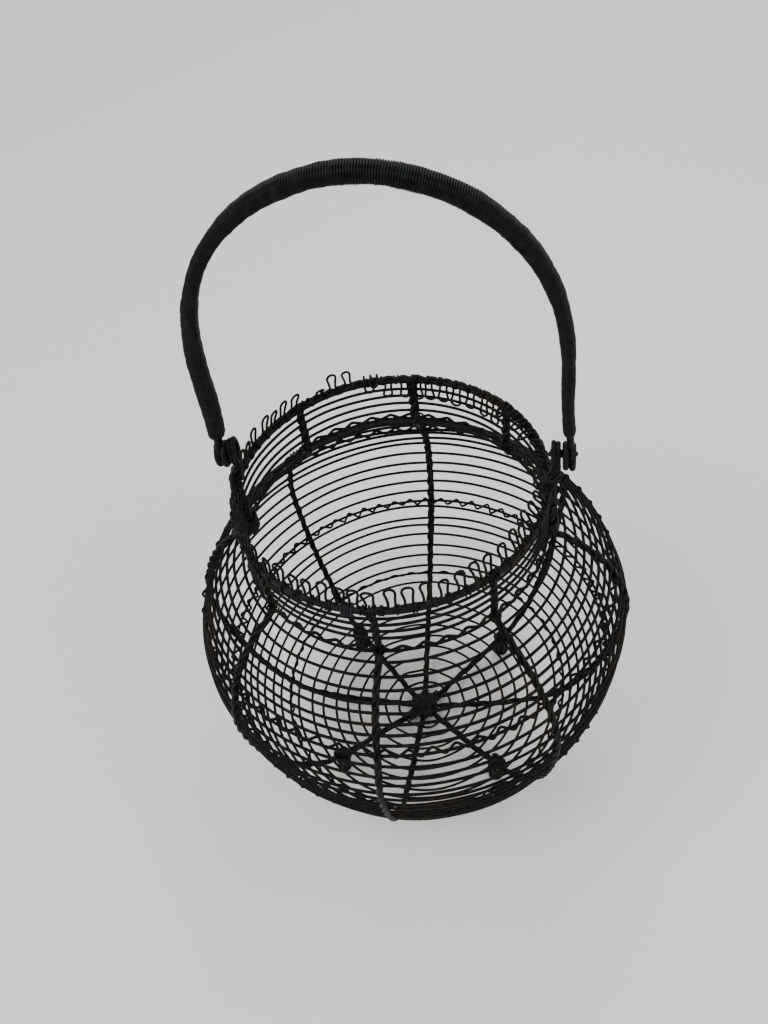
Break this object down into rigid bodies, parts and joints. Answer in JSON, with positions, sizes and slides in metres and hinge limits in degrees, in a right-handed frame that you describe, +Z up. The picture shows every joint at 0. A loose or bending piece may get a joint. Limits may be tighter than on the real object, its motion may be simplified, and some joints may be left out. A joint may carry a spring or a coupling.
{
  "type": "wire fruit basket",
  "caption": "Round pot-bellied wire basket for picked fruit, with a looped rim edging, small wound feet and a wound bail handle that swings on two eye brackets.",
  "frame": {"origin": "on the floor under the basket's vertical axis, midway between the four feet", "axes": "+Z up along the basket's axis; +X through the right-hand bracket along the handle's hinge line; -Y is the front"},
  "size_m": [0.3226, 0.3226, 0.5238],
  "materials": {
    "thin_wire": "matt black paint, worn, with brown rust showing",
    "brown_wire": "matt black paint, rusty brown",
    "heavy_wire": "matt greenish black paint over iron",
    "grip_winding": "satin greenish black winding"
  },
  "bodies": {
    "basket": {"bottom_hoop_01": "brown_wire", "bottom_hoop_02": "brown_wire", "bottom_hoop_03": "brown_wire", "bottom_hoop_04": "brown_wire", "bottom_hoop_05": "brown_wire", "bottom_hoop_06": "brown_wire", "bottom_hoop_07": "brown_wire", "bottom_hoop_08": "brown_wire", "bracket_left": "heavy_wire", "bracket_right": "heavy_wire", "crimped_ring_belly": "thin_wire", "crimped_ring_low": "thin_wire", "crimped_ring_neck": "thin_wire", "crimped_ring_shoulder": "thin_wire", "foot_back_left": "heavy_wire", "foot_back_right": "heavy_wire", "foot_front_left": "heavy_wire", "foot_front_right": "heavy_wire", "hub_binding": "heavy_wire", "neck_ring": "thin_wire", "pivot_pin_left": "heavy_wire", "pivot_pin_right": "heavy_wire", "rib_wire_front_back": "heavy_wire", "rib_wire_left_diagonal": "heavy_wire", "rib_wire_right_diagonal": "heavy_wire", "rib_wire_side_to_side": "heavy_wire", "rim_edging": "thin_wire", "rim_ring": "heavy_wire", "wall_hoop_01": "thin_wire", "wall_hoop_02": "thin_wire", "wall_hoop_03": "thin_wire", "wall_hoop_04": "thin_wire", "wall_hoop_05": "thin_wire", "wall_hoop_06": "thin_wire", "wall_hoop_07": "thin_wire", "wall_hoop_08": "thin_wire", "wall_hoop_09": "thin_wire", "wall_hoop_10": "thin_wire", "wall_hoop_11": "thin_wire", "wall_hoop_12": "thin_wire", "wall_hoop_13": "thin_wire", "wall_hoop_14": "thin_wire", "wall_hoop_15": "thin_wire", "wall_hoop_16": "thin_wire", "wall_hoop_17": "thin_wire", "wall_hoop_18": "thin_wire", "wall_hoop_19": "thin_wire", "wall_hoop_20": "thin_wire", "wall_hoop_21": "thin_wire", "wall_hoop_22": "thin_wire", "wall_hoop_23": "thin_wire", "wall_hoop_24": "thin_wire", "wall_hoop_25": "thin_wire", "wall_hoop_26": "thin_wire", "wall_hoop_27": "thin_wire", "wall_hoop_28": "thin_wire", "wall_hoop_29": "thin_wire", "wall_hoop_30": "thin_wire"},
    "handle": {"handle_core": "heavy_wire", "handle_grip": "grip_winding"}
  },
  "joints": [
    {"name": "handle_swing", "type": "hinge", "parent": "basket", "child": "handle", "pos_m": [0, 0, 0.314], "axis": [1, 0, 0], "range_deg": [-115, 115]}
  ]
}
